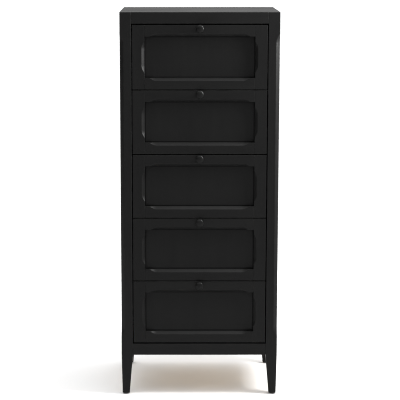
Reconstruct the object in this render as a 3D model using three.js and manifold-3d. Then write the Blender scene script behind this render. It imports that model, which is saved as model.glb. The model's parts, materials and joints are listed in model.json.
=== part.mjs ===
// Tall chest of five drawers: a post-and-rail case on tapered legs, with framed and panelled
// drawer fronts on metal side runners. Millimetres, +Z up, drawers open towards -Y.
// The origin is the centre of the footprint, knobs included, on the floor.
import * as THREE from 'three';
import { mergeVertices } from 'three/addons/utils/BufferGeometryUtils.js';
import Module from 'manifold-3d';

const wasm = await Module();
wasm.setup();

// ---- Driving dimensions ------------------------------------------------------------------

// Overall
const WIDTH = 610;
const DEPTH = 457; // case only, without the knobs
const HEIGHT = 1500;
const DRAWER_COUNT = 5;
const JOINT_GAP = 0.3; // between glued or screwed faces

// Posts and legs
const POST_WIDTH = 44;
const LEG_LENGTH = 160; // floor to the underside of the bottom rail
const LEG_TAPER_INSIDE = 13;
const LEG_TAPER_OUTSIDE = 3;
const POST_CHAMFER = 14;
const POST_CHAMFER_BELOW_TOP = 80;
const POST_CHAMFER_ABOVE_RAIL = 30;
const POST_RUNOUT = 38;
const GLIDE_HEIGHT = 4;
const GLIDE_RADIUS = 10;
const GLIDE_PIN_RADIUS = 2;
const GLIDE_PIN_LENGTH = 15;
const GLIDE_EDGE = 1;

// Rails and boards of the case
const RAIL_THICKNESS = 22;
const TOP_RAIL_HEIGHT = 43.5;
const BOTTOM_RAIL_HEIGHT = 45;
const TENON_LENGTH = 25;
const TENON_THICKNESS = 8;
const TENON_SHOULDER = 7; // rail left above and below the tenon
const TOP_THICKNESS = 19;
const BASE_THICKNESS = 12;
const BASE_LIFT = 14; // from the underside of the bottom rail
const CASE_PANEL_THICKNESS = 8;
const TONGUE_LENGTH = 8;
const TONGUE_INSET = 1; // from each face of the case panel
const TONGUE_SHOULDER = 12;

// Stopped chamfers round the framed openings
const SIDE_CHAMFER = 10;
const FRONT_CHAMFER = 11;
const SIDE_LIP = 2; // square edge left between a chamfer and the panel of a side
const CORNER_PLAIN = 19; // square edge left next to each corner
const FRAME_RUNOUT = 28;
const RUNOUT_STEPS = 5;
const CHAMFER_CLEAR = 0.2; // a cutter starts this far off the edge
const CUTTER_MARGIN = 6; // a cutter passes the faces by this much

// Drawer fronts
const TOP_GAP = 5; // under the top rail
const DRAWER_GAP = 3.6; // between fronts
const BOTTOM_GAP = 5.5; // above the bottom rail
const SIDE_GAP = 3.6;
const FRONT_SETBACK = 1;
const STILE_WIDTH = 46.5;
const FRONT_RAIL_HEIGHT = 44;
const FRONT_LIP = 6; // square edge left between a chamfer and the panel of a front
const FRONT_PANEL_THICKNESS = 6;
const PANEL_OVERLAP = 8; // panel edge held in the rebate
const REBATE_BACK = 2; // frame behind the panel

// Knobs
const KNOB_RADIUS = 15.5;
const KNOB_LENGTH = 26;
const KNOB_DROP = 14; // axis below the upper edge of the front
const KNOB_BASE_RADIUS = 8;
const KNOB_NECK_RADIUS = 6.5;
const KNOB_BASE = 5; // collar against the drawer front
const KNOB_DOME = 9; // rim to crown
const KNOB_BOLT_RADIUS = 2.2;
const KNOB_HEAD_RADIUS = 5;
const KNOB_HEAD_THICKNESS = 2.5;
const BOLT_CLEARANCE = 0.4;

// Drawer boxes
const BOX_WALL = 12;
const BOX_LIFT = 20; // above the lower edge of the front
const BOX_HEADROOM = 38; // below the upper edge of the front
const BOX_BACK_CLEARANCE = 12; // to the back of the case
const DRAWER_BOTTOM_THICKNESS = 5;
const DRAWER_BOTTOM_LIFT = 10;
const GROOVE_DEPTH = 6;

// Runners
const RUNNER_SPACE = 12.7; // between a post and the drawer box
const RUNNER_GAUGE = 1.2;
const RUNNER_HEIGHT = 36;
const RUNNER_CLEARANCE = 1.8; // between the two members
const RUNNER_LIFT = 60; // centre line above the lower edge of the box
const RUNNER_FRONT_CLEARANCE = 3; // behind the drawer front

// Facets
const ROUND_STEPS = 24;
const PIN_STEPS = 12;
const FLARE_STEPS = 4;
const DOME_STEPS = 5;

// ---- Derived sizes -----------------------------------------------------------------------

const halfWidth = WIDTH / 2;
const halfPost = POST_WIDTH / 2;
const postInner = halfWidth - POST_WIDTH;
const knobReach = KNOB_LENGTH - FRONT_SETBACK;
const topRailUnderside = HEIGHT - TOP_RAIL_HEIGHT;
const bottomRailTop = LEG_LENGTH + BOTTOM_RAIL_HEIGHT;

const sideRecess = SIDE_CHAMFER + SIDE_LIP;
const sideThickness = sideRecess + CASE_PANEL_THICKNESS;
const tongueNear = sideRecess + TONGUE_INSET;
const tongueFar = sideThickness - TONGUE_INSET;

const stackHeight = topRailUnderside - TOP_GAP - bottomRailTop - BOTTOM_GAP;
const frontHeight = (stackHeight - (DRAWER_COUNT - 1) * DRAWER_GAP) / DRAWER_COUNT;
const drawerPitch = frontHeight + DRAWER_GAP;
const frontHalfWidth = postInner - SIDE_GAP;
const frontRecess = FRONT_CHAMFER + FRONT_LIP;
const frontThickness = frontRecess + FRONT_PANEL_THICKNESS + REBATE_BACK;
const frontBack = FRONT_SETBACK + frontThickness;
const windowHalfWidth = frontHalfWidth - STILE_WIDTH;

const boxHalfWidth = postInner - RUNNER_SPACE;
const boxNear = frontBack + JOINT_GAP;
const boxFar = DEPTH - sideThickness - BOX_BACK_CLEARANCE;
const boxTop = frontHeight - BOX_HEADROOM;
const runnerNear = frontBack + RUNNER_FRONT_CLEARANCE;
const runnerHeight = BOX_LIFT + RUNNER_LIFT;
const runnerFlange = RUNNER_SPACE - 2 * JOINT_GAP - RUNNER_GAUGE - RUNNER_CLEARANCE;

// ---- Solids ------------------------------------------------------------------------------

const vector = (x, y, z) => new THREE.Vector3(x, y, z);

// A geometry with shared corners merged, no flat triangles and its faces pointing out.
function weld(geometry) {
  const bare = geometry.clone();
  bare.deleteAttribute('normal');
  bare.deleteAttribute('uv');
  const merged = mergeVertices(bare);
  const corners = merged.index.array;
  const position = merged.attributes.position;
  const kept = [];
  let volume = 0;
  for (let i = 0; i < corners.length; i += 3) {
    const [a, b, c] = [corners[i], corners[i + 1], corners[i + 2]];
    if (a === b || b === c || c === a) continue;
    kept.push(a, b, c);
    const [p, q, r] = [a, b, c].map((k) => vector().fromBufferAttribute(position, k));
    volume += p.dot(q.cross(r));
  }
  merged.setIndex(volume < 0 ? kept.reverse() : kept);
  return merged;
}

function toSolid(geometry) {
  const welded = weld(geometry);
  const vertProperties = new Float32Array(welded.attributes.position.array);
  const triVerts = new Uint32Array(welded.index.array);
  return new wasm.Manifold(new wasm.Mesh({ numProp: 3, vertProperties, triVerts }));
}

function toGeometry(solid) {
  const { vertProperties, triVerts } = solid.getMesh();
  const geometry = new THREE.BufferGeometry();
  geometry.setAttribute('position', new THREE.BufferAttribute(vertProperties, 3));
  geometry.setIndex(new THREE.BufferAttribute(triVerts, 1));
  geometry.computeVertexNormals();
  return geometry;
}

// A box between two opposite corners.
function block(x, y, z) {
  const geometry = new THREE.BoxGeometry(x[1] - x[0], y[1] - y[0], z[1] - z[0]);
  geometry.translate((x[0] + x[1]) / 2, (y[0] + y[1]) / 2, (z[0] + z[1]) / 2);
  return toSolid(geometry);
}

// A rod along +Z from the origin's height `low` to `high`.
function rod(radius, low, high) {
  const geometry = new THREE.CylinderGeometry(radius, radius, high - low, PIN_STEPS);
  geometry.rotateX(Math.PI / 2);
  geometry.translate(0, 0, (low + high) / 2);
  return toSolid(geometry);
}

// A closed skin through sections of equal point count, capped at both ends.
function loft(sections) {
  const count = sections[0].length;
  const positions = sections.flat().flatMap((p) => [p.x, p.y, p.z]);
  const faces = [];
  for (let s = 0; s + 1 < sections.length; s++) {
    for (let i = 0; i < count; i++) {
      const a = s * count + i;
      const b = s * count + ((i + 1) % count);
      faces.push(a, b, b + count, a, b + count, a + count);
    }
  }
  const last = (sections.length - 1) * count;
  for (let i = 1; i + 1 < count; i++) {
    faces.push(0, i + 1, i, last, last + i, last + i + 1);
  }
  const geometry = new THREE.BufferGeometry();
  geometry.setAttribute('position', new THREE.Float32BufferAttribute(positions, 3));
  geometry.setIndex(faces);
  return toSolid(geometry);
}

// The waste of a 45 degree chamfer along the edge from `start` to `end`. The faces on the two
// sides of the edge look along `u` and `v`. The chamfer eases in and out over `runout`.
function chamferWaste(start, end, u, v, depth, runout) {
  const along = end.clone().sub(start);
  const length = along.length();
  along.normalize();
  const stations = [];
  for (let step = 0; step <= RUNOUT_STEPS; step++) {
    const ease = Math.sin((Math.PI / 2) * (step / RUNOUT_STEPS));
    const cut = step === 0 ? -CHAMFER_CLEAR : depth * ease;
    stations.push([(runout * step) / RUNOUT_STEPS, cut]);
  }
  const mirrored = stations.map(([s, cut]) => [length - s, cut]).reverse();
  const sections = stations.concat(mirrored).map(([s, cut]) => {
    const at = start.clone().addScaledVector(along, s);
    const far = cut + CUTTER_MARGIN;
    return [
      at.clone().addScaledVector(u, -far).addScaledVector(v, CUTTER_MARGIN),
      at.clone().addScaledVector(u, CUTTER_MARGIN).addScaledVector(v, -far),
      at.clone().addScaledVector(u, CUTTER_MARGIN).addScaledVector(v, CUTTER_MARGIN),
    ];
  });
  return loft(sections);
}

const joinAll = (solids) => solids.reduce((whole, piece) => whole.add(piece));
const cutAll = (solid, wastes) => wastes.reduce((rest, waste) => rest.subtract(waste), solid);

// ---- Materials ---------------------------------------------------------------------------

const finish = (color, roughness, metalness) => ({ color, roughness, metalness, flatShading: true });
const FINISHES = {
  paint: finish(0x1a1a1a, 0.42, 0),
  knob: finish(0x161616, 0.3, 0.2),
  timber: finish(0xc7a677, 0.6, 0),
  steel: finish(0x26272a, 0.4, 0.6),
  glide: finish(0x3a3a3a, 0.7, 0),
};

function mesh(name, solid, look) {
  const part = new THREE.Mesh(toGeometry(solid), new THREE.MeshStandardMaterial(FINISHES[look]));
  part.name = name;
  return part;
}

// ---- Case --------------------------------------------------------------------------------

// One post about its own axis. `outX` and `outY` point to its outer faces.
function postSolid(outX, outY) {
  const rectangle = (z, inside, outside) => {
    const outerX = outX * (halfPost - outside);
    const outerY = outY * (halfPost - outside);
    const innerX = -outX * (halfPost - inside);
    const innerY = -outY * (halfPost - inside);
    return [
      vector(outerX, outerY, z),
      vector(innerX, outerY, z),
      vector(innerX, innerY, z),
      vector(outerX, innerY, z),
    ];
  };
  const body = loft([
    rectangle(GLIDE_HEIGHT + JOINT_GAP, LEG_TAPER_INSIDE, LEG_TAPER_OUTSIDE),
    rectangle(LEG_LENGTH, 0, 0),
    rectangle(HEIGHT, 0, 0),
  ]);
  return cutAll(body, postWastes(outX, outY));
}

function postWastes(outX, outY) {
  const ordered = (a, b) => [Math.min(a, b), Math.max(a, b)];
  const sideOut = vector(outX, 0, 0);
  const panelEdgeY = -outY * halfPost;
  const wastes = [
    chamferWaste(
      vector(outX * halfPost, panelEdgeY, bottomRailTop + CORNER_PLAIN),
      vector(outX * halfPost, panelEdgeY, topRailUnderside - CORNER_PLAIN),
      sideOut, vector(0, -outY, 0), SIDE_CHAMFER, FRAME_RUNOUT,
    ),
    grooveForTongue(
      ordered(outX * (halfPost - tongueNear), outX * (halfPost - tongueFar)),
      ordered(panelEdgeY, panelEdgeY + outY * TONGUE_LENGTH),
    ),
    glideHole(outX, outY),
  ];
  if (outY > 0) {
    wastes.push(grooveForTongue(
      ordered(-outX * halfPost, -outX * (halfPost - TONGUE_LENGTH)),
      ordered(halfPost - tongueNear, halfPost - tongueFar),
    ));
    return wastes;
  }
  wastes.push(chamferWaste(
    vector(outX * halfPost, -halfPost, bottomRailTop + POST_CHAMFER_ABOVE_RAIL),
    vector(outX * halfPost, -halfPost, HEIGHT - POST_CHAMFER_BELOW_TOP),
    sideOut, vector(0, -1, 0), POST_CHAMFER, POST_RUNOUT,
  ));
  const mortiseX = ordered(-outX * (halfPost + JOINT_GAP), outX * (TENON_LENGTH + JOINT_GAP - halfPost));
  const mortiseY = [
    (RAIL_THICKNESS - TENON_THICKNESS) / 2 - halfPost - JOINT_GAP,
    (RAIL_THICKNESS + TENON_THICKNESS) / 2 - halfPost + JOINT_GAP,
  ];
  for (const [low, high] of [[topRailUnderside, HEIGHT], [LEG_LENGTH, bottomRailTop]]) {
    const shoulder = TENON_SHOULDER - JOINT_GAP;
    wastes.push(block(mortiseX, mortiseY, [low + shoulder, high - shoulder]));
  }
  return wastes;
}

// The groove that takes a side's or the back's tongue, a joint gap larger all round.
function grooveForTongue(x, y) {
  const wider = ([low, high]) => [low - JOINT_GAP, high + JOINT_GAP];
  const z = [LEG_LENGTH + TONGUE_SHOULDER, HEIGHT - TONGUE_SHOULDER];
  return block(wider(x), wider(y), wider(z));
}

// The middle of the foot, where the glide sits.
function footCentre(outX, outY) {
  const shift = (LEG_TAPER_INSIDE - LEG_TAPER_OUTSIDE) / 2;
  return [outX * shift, outY * shift];
}

function glideHole(outX, outY) {
  const [x, y] = footCentre(outX, outY);
  const top = GLIDE_HEIGHT + GLIDE_PIN_LENGTH + JOINT_GAP;
  return rod(GLIDE_PIN_RADIUS + JOINT_GAP, 0, top).translate([x, y, 0]);
}

function glideSolid() {
  const outline = [
    [0, 0],
    [GLIDE_RADIUS - GLIDE_EDGE, 0],
    [GLIDE_RADIUS, GLIDE_EDGE],
    [GLIDE_RADIUS, GLIDE_HEIGHT],
    [GLIDE_PIN_RADIUS, GLIDE_HEIGHT],
    [GLIDE_PIN_RADIUS, GLIDE_HEIGHT + GLIDE_PIN_LENGTH],
    [0, GLIDE_HEIGHT + GLIDE_PIN_LENGTH],
  ].map(([radius, height]) => new THREE.Vector2(radius, height));
  const geometry = new THREE.LatheGeometry(outline, ROUND_STEPS);
  geometry.rotateX(Math.PI / 2);
  return toSolid(geometry);
}

// A rail between the front posts, with a tenon at each end.
function frontRailSolid(low, high) {
  const reach = postInner - JOINT_GAP;
  const tenonReach = postInner + TENON_LENGTH;
  const tenonY = [(RAIL_THICKNESS - TENON_THICKNESS) / 2, (RAIL_THICKNESS + TENON_THICKNESS) / 2];
  return joinAll([
    block([-reach, reach], [0, RAIL_THICKNESS], [low, high]),
    block([-tenonReach, tenonReach], tenonY, [low + TENON_SHOULDER, high - TENON_SHOULDER]),
  ]);
}

// A recessed panel with a rail above and below it, its outer face on y = 0 looking along -Y.
// A tongue on each upright edge goes into the posts.
function framedPanelSolid(span, chamfered) {
  const half = span / 2 - JOINT_GAP;
  const tongueHalf = span / 2 + TONGUE_LENGTH;
  const whole = joinAll([
    block([-half, half], [sideRecess, sideThickness], [LEG_LENGTH, HEIGHT]),
    block([-half, half], [0, sideThickness], [LEG_LENGTH, bottomRailTop]),
    block([-half, half], [0, sideThickness], [topRailUnderside, HEIGHT]),
    block([-tongueHalf, tongueHalf], [tongueNear, tongueFar],
      [LEG_LENGTH + TONGUE_SHOULDER, HEIGHT - TONGUE_SHOULDER]),
  ]);
  if (!chamfered) return whole;
  const end = span / 2 - CORNER_PLAIN;
  const wastes = [[bottomRailTop, 1], [topRailUnderside, -1]].map(([z, up]) => chamferWaste(
    vector(-end, 0, z), vector(end, 0, z),
    vector(0, -1, 0), vector(0, 0, up), SIDE_CHAMFER, FRAME_RUNOUT,
  ));
  return cutAll(whole, wastes);
}

// A board that fills the case between its sides, rails and back, notched round the posts.
function boardSolid(low, high) {
  const x = halfWidth - sideThickness - JOINT_GAP;
  const y = [RAIL_THICKNESS + JOINT_GAP, DEPTH - sideThickness - JOINT_GAP];
  const board = block([-x, x], y, [low, high]);
  const notch = POST_WIDTH + JOINT_GAP;
  const wastes = [];
  for (const side of [[-halfWidth, -halfWidth + notch], [halfWidth - notch, halfWidth]]) {
    for (const end of [[0, notch], [DEPTH - notch, DEPTH]]) {
      wastes.push(block(side, end, [low - JOINT_GAP, high + JOINT_GAP]));
    }
  }
  return cutAll(board, wastes);
}

function makeCase() {
  const group = new THREE.Group();
  for (const [sideName, outX] of [['left', -1], ['right', 1]]) {
    for (const [endName, outY] of [['front', -1], ['back', 1]]) {
      const x = outX * (halfWidth - halfPost);
      const y = outY < 0 ? halfPost : DEPTH - halfPost;
      const post = mesh(`${endName}_${sideName}_post`, postSolid(outX, outY), 'paint');
      post.position.set(x, y, 0);
      const glide = mesh(`${endName}_${sideName}_glide`, glideSolid(), 'glide');
      const [footX, footY] = footCentre(outX, outY);
      glide.position.set(x + footX, y + footY, 0);
      group.add(post, glide);
    }
    const sideSpan = DEPTH - 2 * POST_WIDTH;
    const side = mesh(`${sideName}_side`, framedPanelSolid(sideSpan, true), 'paint');
    side.position.set(outX * halfWidth, DEPTH / 2, 0);
    side.rotation.z = (outX * Math.PI) / 2;
    group.add(side);
  }
  const back = mesh('back_panel', framedPanelSolid(2 * postInner, false), 'paint');
  back.position.set(0, DEPTH, 0);
  back.rotation.z = Math.PI;
  const baseLow = LEG_LENGTH + BASE_LIFT;
  group.add(
    back,
    mesh('front_top_rail', frontRailSolid(topRailUnderside, HEIGHT), 'paint'),
    mesh('front_bottom_rail', frontRailSolid(LEG_LENGTH, bottomRailTop), 'paint'),
    mesh('top_panel', boardSolid(HEIGHT - TOP_THICKNESS, HEIGHT), 'paint'),
    mesh('base_panel', boardSolid(baseLow, baseLow + BASE_THICKNESS), 'timber'),
  );
  return group;
}

// ---- Drawers -----------------------------------------------------------------------------
// A drawer's own zero height is the lower edge of its front.

// Stiles and rails glued into one frame, with stopped chamfers and a rebate for the panel.
function frontFrameSolid() {
  const windowZ = [FRONT_RAIL_HEIGHT, frontHeight - FRONT_RAIL_HEIGHT];
  const face = FRONT_SETBACK;
  const body = block([-frontHalfWidth, frontHalfWidth], [face, frontBack], [0, frontHeight]);
  const rebateHalf = windowHalfWidth + PANEL_OVERLAP + JOINT_GAP;
  const wastes = [
    block([-windowHalfWidth, windowHalfWidth], [face - CUTTER_MARGIN, frontBack + CUTTER_MARGIN], windowZ),
    block([-rebateHalf, rebateHalf], [face + frontRecess - JOINT_GAP, frontBack + CUTTER_MARGIN],
      [windowZ[0] - PANEL_OVERLAP - JOINT_GAP, windowZ[1] + PANEL_OVERLAP + JOINT_GAP]),
    knobHole(),
  ];
  const outward = vector(0, -1, 0);
  for (const inward of [-1, 1]) {
    const x = -inward * windowHalfWidth;
    wastes.push(chamferWaste(
      vector(x, face, windowZ[0] + CORNER_PLAIN), vector(x, face, windowZ[1] - CORNER_PLAIN),
      outward, vector(inward, 0, 0), FRONT_CHAMFER, FRAME_RUNOUT,
    ));
    const z = inward > 0 ? windowZ[0] : windowZ[1];
    const end = windowHalfWidth - CORNER_PLAIN;
    wastes.push(chamferWaste(
      vector(-end, face, z), vector(end, face, z),
      outward, vector(0, 0, inward), FRONT_CHAMFER, FRAME_RUNOUT,
    ));
  }
  return cutAll(body, wastes);
}

function frontPanelSolid() {
  const half = windowHalfWidth + PANEL_OVERLAP;
  const near = FRONT_SETBACK + frontRecess;
  const low = FRONT_RAIL_HEIGHT - PANEL_OVERLAP;
  return block([-half, half], [near, near + FRONT_PANEL_THICKNESS], [low, frontHeight - low]);
}

function knobHole() {
  const hole = rod(KNOB_BOLT_RADIUS + BOLT_CLEARANCE, 0, frontThickness + 2 * CUTTER_MARGIN);
  return hole.rotate([-90, 0, 0])
    .translate([0, FRONT_SETBACK - CUTTER_MARGIN, frontHeight - KNOB_DROP]);
}

// The knob turned in one with its fixing bolt. Heights run out from the face of the front.
function knobSolid() {
  const headTop = -frontThickness - JOINT_GAP;
  const rimHeight = KNOB_LENGTH - KNOB_DOME;
  const outline = [
    [0, headTop - KNOB_HEAD_THICKNESS],
    [KNOB_HEAD_RADIUS, headTop - KNOB_HEAD_THICKNESS],
    [KNOB_HEAD_RADIUS, headTop],
    [KNOB_BOLT_RADIUS, headTop],
    [KNOB_BOLT_RADIUS, JOINT_GAP],
    [KNOB_BASE_RADIUS, JOINT_GAP],
    [KNOB_BASE_RADIUS, KNOB_BASE / 2],
    [KNOB_NECK_RADIUS, KNOB_BASE],
  ];
  for (let i = 1; i <= FLARE_STEPS; i++) {
    const turn = (Math.PI / 2) * (i / FLARE_STEPS);
    outline.push([
      KNOB_NECK_RADIUS + (KNOB_RADIUS - KNOB_NECK_RADIUS) * (1 - Math.cos(turn)),
      KNOB_BASE + (rimHeight - KNOB_BASE) * Math.sin(turn),
    ]);
  }
  for (let i = 1; i < DOME_STEPS; i++) {
    const turn = (Math.PI / 2) * (i / DOME_STEPS);
    outline.push([
      KNOB_RADIUS * Math.cos(turn),
      rimHeight + (KNOB_LENGTH - rimHeight) * Math.sin(turn),
    ]);
  }
  outline.push([0, KNOB_LENGTH]);
  const points = outline.map(([radius, height]) => new THREE.Vector2(radius, height));
  const geometry = new THREE.LatheGeometry(points, ROUND_STEPS);
  geometry.rotateX(Math.PI);
  return toSolid(geometry);
}

// Sub-front, two sides and back joined into one open box, grooved for the bottom.
function boxSolid() {
  const inner = boxHalfWidth - BOX_WALL;
  const groove = inner + GROOVE_DEPTH + JOINT_GAP;
  const bottomLow = BOX_LIFT + DRAWER_BOTTOM_LIFT;
  const body = block([-boxHalfWidth, boxHalfWidth], [boxNear, boxFar], [BOX_LIFT, boxTop]);
  return cutAll(body, [
    block([-inner, inner], [boxNear + BOX_WALL, boxFar - BOX_WALL],
      [BOX_LIFT - CUTTER_MARGIN, boxTop + CUTTER_MARGIN]),
    block([-groove, groove],
      [boxNear + BOX_WALL - GROOVE_DEPTH - JOINT_GAP, boxFar - BOX_WALL + GROOVE_DEPTH + JOINT_GAP],
      [bottomLow - JOINT_GAP, bottomLow + DRAWER_BOTTOM_THICKNESS + JOINT_GAP]),
  ]);
}

function drawerBottomSolid() {
  const half = boxHalfWidth - BOX_WALL + GROOVE_DEPTH;
  const low = BOX_LIFT + DRAWER_BOTTOM_LIFT;
  return block([-half, half],
    [boxNear + BOX_WALL - GROOVE_DEPTH, boxFar - BOX_WALL + GROOVE_DEPTH],
    [low, low + DRAWER_BOTTOM_THICKNESS]);
}

// A channel along Y whose web stands at `web` and whose flanges point along `open`.
function channelSolid(web, open, height) {
  const tip = web + open * runnerFlange;
  const inside = web + open * RUNNER_GAUGE;
  const half = height / 2;
  const shape = new THREE.Shape([
    [web, -half],
    [tip, -half],
    [tip, RUNNER_GAUGE - half],
    [inside, RUNNER_GAUGE - half],
    [inside, half - RUNNER_GAUGE],
    [tip, half - RUNNER_GAUGE],
    [tip, half],
    [web, half],
  ].map(([x, z]) => new THREE.Vector2(x, z)));
  const geometry = new THREE.ExtrudeGeometry(shape, { depth: boxFar - runnerNear, bevelEnabled: false });
  geometry.rotateX(Math.PI / 2);
  geometry.translate(0, boxFar, 0);
  return toSolid(geometry);
}

// The member screwed to the posts, opening towards the drawer.
function caseRunnerSolid(side) {
  return channelSolid(side * (postInner - JOINT_GAP), -side, RUNNER_HEIGHT);
}

// The member screwed to the drawer box, opening towards the case and held inside the other.
function drawerRunnerSolid(side) {
  const height = RUNNER_HEIGHT - 2 * (RUNNER_GAUGE + RUNNER_CLEARANCE);
  return channelSolid(side * (boxHalfWidth + JOINT_GAP), side, height);
}

function makeDrawer(number) {
  const group = new THREE.Group();
  const prefix = `drawer_${number}`;
  const knob = mesh(`${prefix}_knob`, knobSolid(), 'knob');
  knob.position.set(0, FRONT_SETBACK, frontHeight - KNOB_DROP);
  group.add(
    mesh(`${prefix}_front_frame`, frontFrameSolid(), 'paint'),
    mesh(`${prefix}_front_panel`, frontPanelSolid(), 'paint'),
    knob,
    mesh(`${prefix}_box`, boxSolid(), 'timber'),
    mesh(`${prefix}_bottom`, drawerBottomSolid(), 'timber'),
  );
  for (const [sideName, side] of [['left', -1], ['right', 1]]) {
    const onCase = mesh(`${prefix}_${sideName}_case_runner`, caseRunnerSolid(side), 'steel');
    const onBox = mesh(`${prefix}_${sideName}_box_runner`, drawerRunnerSolid(side), 'steel');
    onCase.position.z = runnerHeight;
    onBox.position.z = runnerHeight;
    group.add(onCase, onBox);
  }
  return group;
}

// ---- Assembly ----------------------------------------------------------------------------
// Inside the chest, y is measured back from the front faces of the posts.

const chest = new THREE.Group();
chest.position.y = (knobReach - DEPTH) / 2;
chest.add(makeCase());
for (let number = 1; number <= DRAWER_COUNT; number++) {
  const drawer = makeDrawer(number);
  drawer.position.z = topRailUnderside - TOP_GAP - frontHeight - (number - 1) * drawerPitch;
  chest.add(drawer);
}

export default chest;
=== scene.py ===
"""A tall black chest of drawers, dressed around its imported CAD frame.

Every piece takes its place from the frame. Metres, +Z up, the drawers open towards -Y.
"""
import json
import math

import bmesh
import bpy
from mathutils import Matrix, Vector

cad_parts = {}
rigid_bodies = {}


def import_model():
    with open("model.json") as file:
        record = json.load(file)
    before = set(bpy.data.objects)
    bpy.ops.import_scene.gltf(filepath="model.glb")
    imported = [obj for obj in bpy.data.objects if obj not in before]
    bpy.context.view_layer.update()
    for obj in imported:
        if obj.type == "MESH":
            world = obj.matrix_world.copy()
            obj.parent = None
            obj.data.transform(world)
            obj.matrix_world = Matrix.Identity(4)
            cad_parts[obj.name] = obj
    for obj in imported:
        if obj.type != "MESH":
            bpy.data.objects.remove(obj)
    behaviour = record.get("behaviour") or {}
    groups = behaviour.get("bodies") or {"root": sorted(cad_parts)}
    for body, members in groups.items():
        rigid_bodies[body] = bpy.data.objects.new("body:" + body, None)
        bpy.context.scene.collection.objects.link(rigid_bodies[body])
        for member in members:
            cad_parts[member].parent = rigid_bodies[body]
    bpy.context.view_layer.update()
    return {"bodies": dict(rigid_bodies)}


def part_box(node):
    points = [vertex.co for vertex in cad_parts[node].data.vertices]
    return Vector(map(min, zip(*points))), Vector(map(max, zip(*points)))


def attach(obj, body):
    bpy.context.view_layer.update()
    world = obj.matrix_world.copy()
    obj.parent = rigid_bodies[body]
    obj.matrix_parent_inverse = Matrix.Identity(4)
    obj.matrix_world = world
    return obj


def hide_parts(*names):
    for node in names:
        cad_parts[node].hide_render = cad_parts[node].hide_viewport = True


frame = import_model()

SIDES = (("left", -1), ("right", 1))
DRAWERS = sorted(body for body in frame["bodies"] if body.startswith("drawer_"))
CASE = "case"

# ---- Heights and sizes -------------------------------------------------------------------

# Heights that several pieces share
LEG_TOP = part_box("front_bottom_rail")[0].z
RAIL_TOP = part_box("front_bottom_rail")[1].z
TOP_RAIL_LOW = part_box("front_top_rail")[0].z

# Tapers, chamfers and walls that the frame's boxes don't give
LEG_TAPER_INSIDE = 0.013
LEG_TAPER_OUTSIDE = 0.003
POST_CHAMFER = 0.014
POST_CHAMFER_BELOW_TOP = 0.080
POST_CHAMFER_ABOVE_RAIL = 0.030
POST_RUNOUT = 0.038
SIDE_CHAMFER = 0.010
SIDE_RECESS = 0.012
FRONT_CHAMFER = 0.011
CORNER_PLAIN = 0.019
FRAME_RUNOUT = 0.028
PANEL_OVERLAP = 0.008
BOX_WALL = 0.012
JOINT = 0.0003  # hairline left between glued pieces

# Radii of eased edges
EASE = 0.0008
POST_EASE = 0.0014
CASE_RAIL_EASE = 0.0013
FRONT_RAIL_EASE = 0.0007
BOARD_EASE = 0.0005
THIN_BOARD_EASE = 0.0004
BEVEL_WIDTH = 0.0003  # on dovetailed boards

# Marks in the paint: rubbed edges, and a painted shade round each drawer panel
WORN_BAND = 0.0015  # width of the worn paint beside an edge
RIM_SHADE_BAND = 0.0030  # width of the painted shade round a drawer's panel
RIM_SHADE_FADE = 0.0012  # width over which it ends

# How finely curves are drawn
EASE_STEPS = 5
RUNOUT_STEPS = 14
FLARE_STEPS = 18
KNOB_SEGMENTS = 72
SMOOTH_ANGLE = 35.0  # degrees; sharper folds than this keep a crisp edge


# ---- Mesh code ---------------------------------------------------------------------------

class Shape:
    """The points, faces and edge mask of one mesh; on a drawer panel the mask marks a painted shade round
    its rim.
    """

    def __init__(self):
        self.points = []
        self.wear_and_shade = []
        self.faces = []

    def add_rings(self, rings):
        """A closed skin through rings of (point, wear) pairs, capped at both ends."""
        first = len(self.points)
        count = len(rings[0])
        for ring in rings:
            for point, wear_and_shade in ring:
                self.points.append(tuple(point))
                self.wear_and_shade.append(wear_and_shade)
        for r in range(len(rings) - 1):
            for i in range(count):
                a = first + r * count + i
                b = first + r * count + (i + 1) % count
                self.faces.append((a, b, b + count, a + count))
        last = first + (len(rings) - 1) * count
        self.faces.append(tuple(range(first + count - 1, first - 1, -1)))
        self.faces.append(tuple(range(last, last + count)))
        return self

    def add_face(self, points):
        """One face with points of its own."""
        first = len(self.points)
        self.points.extend(tuple(p) for p in points)
        self.wear_and_shade.extend(0.0 for _ in points)
        self.faces.append(tuple(range(first, first + len(points))))


def spot(axis, at, across, up):
    """A point from its place along `axis` and along the two axes that follow it."""
    point = [0.0, 0.0, 0.0]
    point[axis], point[(axis + 1) % 3], point[(axis + 2) % 3] = at, across, up
    return point


def shrink(low, high, axis, gap=JOINT / 2):
    """The same box, shorter by `gap` at both ends of one axis."""
    low, high = Vector(low), Vector(high)
    low[axis] += gap
    high[axis] -= gap
    return low, high


def piece(name, shape, material, body, slot, *nodes, merge=False):
    """Makes one mesh object that rides on `body` and stands for the CAD `nodes`. `merge` joins
    the points of faces that meet."""
    mesh = bpy.data.meshes.new(name)
    mesh.from_pydata(shape.points, [], shape.faces)
    # The mask: worn edges, and on drawer panels a painted shade round the rim
    wear_and_shade = mesh.attributes.new("wear_and_shade", "FLOAT", "POINT")
    wear_and_shade.data.foreach_set("value", shape.wear_and_shade)
    work = bmesh.new()
    work.from_mesh(mesh)
    if merge:
        bmesh.ops.remove_doubles(work, verts=work.verts, dist=1e-6)
    bmesh.ops.recalc_face_normals(work, faces=work.faces)
    work.to_mesh(mesh)
    work.free()
    mesh.polygons.foreach_set("use_smooth", [True] * len(mesh.polygons))
    mesh.set_sharp_from_angle(angle=math.radians(SMOOTH_ANGLE))
    mesh.materials.append(material)
    made = bpy.data.objects.new(name, mesh)
    bpy.context.scene.collection.objects.link(made)
    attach(made, body)
    if nodes:
        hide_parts(*nodes)
    return made


def run_out(cut, at):
    """Depth of a stopped chamfer (depth, start, end, runout) at one place along its edge."""
    depth, start, end, runout = cut
    into = min(at - start, end - at) / runout
    return depth * math.sin(math.pi / 2 * min(max(into, 0.0), 1.0))


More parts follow.
